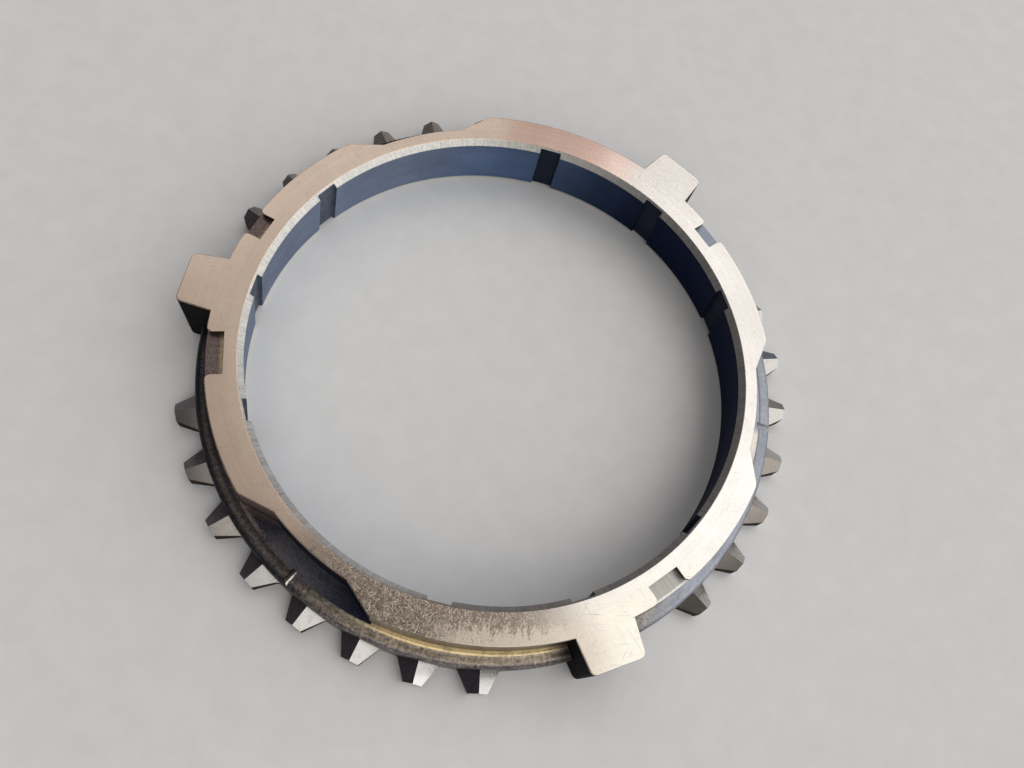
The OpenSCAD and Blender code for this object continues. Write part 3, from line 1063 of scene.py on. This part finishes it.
# Faces are picked by place and normal, and each pick gets its finish
def dress(ob, finish, test):
    ob.data.materials.append(finish)
    edit(ob, "FACE")
    mesh = bmesh.from_edit_mesh(ob.data)
    count = 0
    for face in mesh.faces:
        face.select = test(factsOf(face))
        count += face.select
    mesh.select_flush_mode()
    bmesh.update_edit_mesh(ob.data)
    ob.active_material_index = len(ob.data.materials) - 1
    if count:
        bpy.ops.object.material_slot_assign()
    only(ob)
    print(finish.name, "on", count, "faces")


def beside(q, places, reach):
    return any(abs((q.a - c + 180) % 360 - 180) < reach for c in places)


# Angles are counted from -60 degrees on
def inSpan(q, limits):
    return within((q.a + 60) % 360 - 60, limits)


# Where the faces of each finish lie: radii and heights in mm, angles and reaches in degrees,
# and how far a normal points up, outwards or aside
faceZ, neckR = ringForm["height"], ringForm["neckR"]
pickForm = {
    "lean": 0.3, "aside": 0.15, "steep": 0.5, "flat": 0.9, "wallUp": 0.6,
    "toothR": 36.45, "toothTop": 3.2, "flankR": 36.52, "tipR": 38.4, "tipOut": 0.8, "roofUp": (0.3, 0.95),
    "shadedBack": (70, 152), "shadedLeft": (152, 228), "shadedRight": (-45, 0), "shadedFar": (3, 22),
    "darkLeft": (152, 285),
    "lugR": 34.62, "lugEndR": 36.6, "lugReach": 7,
    "boreR": 32.0, "coneZ": (0.2, 8.35), "coneSlack": 0.08, "grooveDepth": (0.02, 0.75),
    "hubZ": 8.2, "gearZ": 0.4,
    "pocketR": (32.0, neckR - 0.04), "pocketZ": (4.1, faceZ - 0.1), "pocketOut": 0.1, "pocketReach": 19,
    "ledgeR": (32.0, neckR + 0.32), "ledgeZ": (4.1, 4.45), "ledgeReach": 17,
    "notchR": (32.3, neckR + 0.02), "notchZ": (8.0, faceZ - 0.07), "notchWallR": neckR - 0.05,
    "notchReach": 6,
    "markR": (neckR, 36.6), "markZ": (3.62, 3.76), "markUp": (0.8, 0.97), "markTurn": 0.38, "markReach": 0.3,
    "groundZ": faceZ - 0.13, "groundR": 30.85,
}


def dressRing(ring):
    f = pickForm
    lean, aside, steep = f["lean"], f["aside"], f["steep"]
    lugs, pockets = lugForm["turns"], pocketForm["turns"]
    marks = [place + f["markTurn"] for place in pockets]
    onLug = lambda q: beside(q, lugs, f["lugReach"])
    inTooth = lambda q: q.r > f["toothR"] and q.z < f["toothTop"] and not onLug(q)
    onTip = lambda q: q.out > f["tipOut"] and q.r > f["tipR"]
    onRoof = lambda q: inTooth(q) and within(q.up, f["roofUp"])
    shadedSide = lambda q: (inSpan(q, f["shadedBack"]) or inSpan(q, f["shadedLeft"]) and q.left < aside
                          or inSpan(q, f["shadedRight"]) and q.side < -aside
                          or inSpan(q, f["shadedFar"]) and q.side > aside)
    inPocket = lambda q: (within(q.r, f["pocketR"]) and within(q.z, f["pocketZ"]) and q.out > f["pocketOut"]
                          and q.up < f["wallUp"] and beside(q, pockets, f["pocketReach"]))
    onLedge = lambda q: (within(q.r, f["ledgeR"]) and within(q.z, f["ledgeZ"]) and q.up >= lean
                         and beside(q, pockets, f["ledgeReach"]))
    dress(ring, forgedSkin(), lambda q: True)
    dress(ring, gearSide(), lambda q: q.up < -lean and q.z < f["gearZ"])
    dress(ring, toothRoof(), lambda q: inTooth(q) and (q.up > lean or onTip(q)))
    # roof facets that face away from the lamps get painted shade
    dress(ring, shadedRoof(), lambda q: onRoof(q) and shadedSide(q))
    # left-facing roof facets get deeper painted shade
    dress(ring, darkRoof(), lambda q: onRoof(q) and q.left > aside and inSpan(q, f["darkLeft"]))
    dress(ring, plainFinish("toothFlank", flankForm), lambda q: inTooth(q) and q.r > f["flankR"]
          and -lean < q.up <= lean and not onTip(q))
    dress(ring, lugSide(), lambda q: onLug(q) and q.r > f["lugR"] and q.z < faceZ
          and -lean < q.up < f["wallUp"] and (q.r > f["lugEndR"] or abs(q.side) > steep))
    dress(ring, frictionCone(), lambda q: q.out < -f["flat"] and within(q.z, f["coneZ"])
          and abs(q.r - coneAt(q.z)) < f["coneSlack"])
    dress(ring, oilGroove(), lambda q: q.r < f["boreR"] and within(q.r - coneAt(q.z), f["grooveDepth"])
          and (q.out < -steep or abs(q.side) > steep))
    dress(ring, boreChamfer(), lambda q: q.r < f["boreR"] and q.out < -lean
          and (q.z > f["hubZ"] and q.up > aside or q.z < f["gearZ"] and q.up < -aside))
    dress(ring, pocketSkin(), lambda q: inPocket(q) or onLedge(q))
    dress(ring, notchSkin(), lambda q: within(q.r, f["notchR"]) and within(q.z, f["notchZ"])
          and beside(q, notchPlaces, f["notchReach"])
          and (q.up > f["flat"] or q.up < lean and q.r < f["notchWallR"]))
    dress(ring, markSkin(), lambda q: within(q.r, f["markR"]) and within(q.z, f["markZ"])
          and within(q.up, f["markUp"]) and beside(q, marks, f["markReach"]))
    dress(ring, groundFace(), lambda q: q.z > f["groundZ"] and q.up > lean and q.r > f["groundR"])


dressRing(ring)

ring.scale = (0.001, 0.001, 0.001)  # millimetres to metres
bpy.ops.object.transform_apply()
bpy.ops.object.shade_smooth_by_angle(angle=math.radians(36))
weigh = ring.modifiers.new("flatFaces", "WEIGHTED_NORMAL")  # keeps flat faces flat beside rounded edges
weigh.keep_sharp = True
bpy.ops.object.modifier_apply(modifier=weigh.name)
print("ring finished, faces:", len(ring.data.polygons))

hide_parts("synchro_ring")
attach(ring, "root")

# Floor, light and camera, in metres
floorForm = {"size": 8.0, "drop": 0.0002, "tones": ((0.92, 0.92, 0.91), (0.87, 0.87, 0.87)),
             "cloud": (0.06, 2.0), "fine": (0.004, 3.0), "fineShade": (0.97, 1.02),
             "metal": 0.0, "rough": (0.7, 0.85), "depth": 0.05}
only()
bpy.ops.mesh.primitive_plane_add(size=floorForm["size"], location=(0, 0, -floorForm["drop"]))
floor = bpy.context.object
floor.name = "studioFloor"
floor.data.materials.append(plainFinish("paleFloor", floorForm, 1.0))

world = bpy.data.worlds.new("dimStudio")
bpy.context.scene.world = world
world.use_nodes = True
world.node_tree.nodes["Background"].inputs["Color"].default_value = (0.09, 0.09, 0.095, 1)

# Softboxes, given by where they stand round the ring and how bright their faces are
lampFar = 2.4
lampForms = [
    {"name": "sideSoftbox", "turn": 0, "rise": 45, "wide": 4.8, "high": 3.8, "glow": 1.03,
     "color": (1.0, 0.985, 0.965)},
    {"name": "backSoftbox", "turn": 110, "rise": 57, "wide": 2.2, "high": 2.0, "glow": 0.62,
     "color": (1.0, 0.95, 0.90)},
    {"name": "frontSoftbox", "turn": -88, "rise": 38, "wide": 1.8, "high": 1.8, "glow": 0.80,
     "color": (1.0, 0.97, 0.91)},
]
for f in lampForms:
    rise = math.radians(f["rise"])
    across, up = lampFar * math.cos(rise), lampFar * math.sin(rise)
    only()
    bpy.ops.object.light_add(type="AREA", location=polar(across, f["turn"], up))
    lamp = bpy.context.object
    lamp.name = f["name"]
    lamp.data.shape = "RECTANGLE"
    lamp.data.size = f["wide"]
    lamp.data.size_y = f["high"]
    lamp.data.color = f["color"]
    lamp.data.energy = f["glow"] * math.pi * f["wide"] * f["high"]
    lamp.rotation_euler = (-lamp.location).to_track_quat("-Z", "Y").to_euler()
print("lamps:", len(lampForms))

cameraForm = {"place": (-0.00510, -0.04297, 0.10082), "heading": -10.32, "pitch": 23.26,
              "roll": 22.43, "lens": 29.45, "sensor": 36, "nearest": 0.005}
f = cameraForm
bpy.ops.object.camera_add(location=f["place"])
camera = bpy.context.object
turn = (Matrix.Rotation(math.radians(f["heading"]), 3, "Z")
        @ Matrix.Rotation(math.radians(f["pitch"]), 3, "X")
        @ Matrix.Rotation(math.radians(f["roll"]), 3, "Z"))
camera.rotation_euler = turn.to_euler()
camera.data.lens = f["lens"]
camera.data.sensor_width = f["sensor"]
camera.data.clip_start = f["nearest"]
bpy.context.scene.camera = camera

bpy.context.scene.view_settings.view_transform = "Standard"
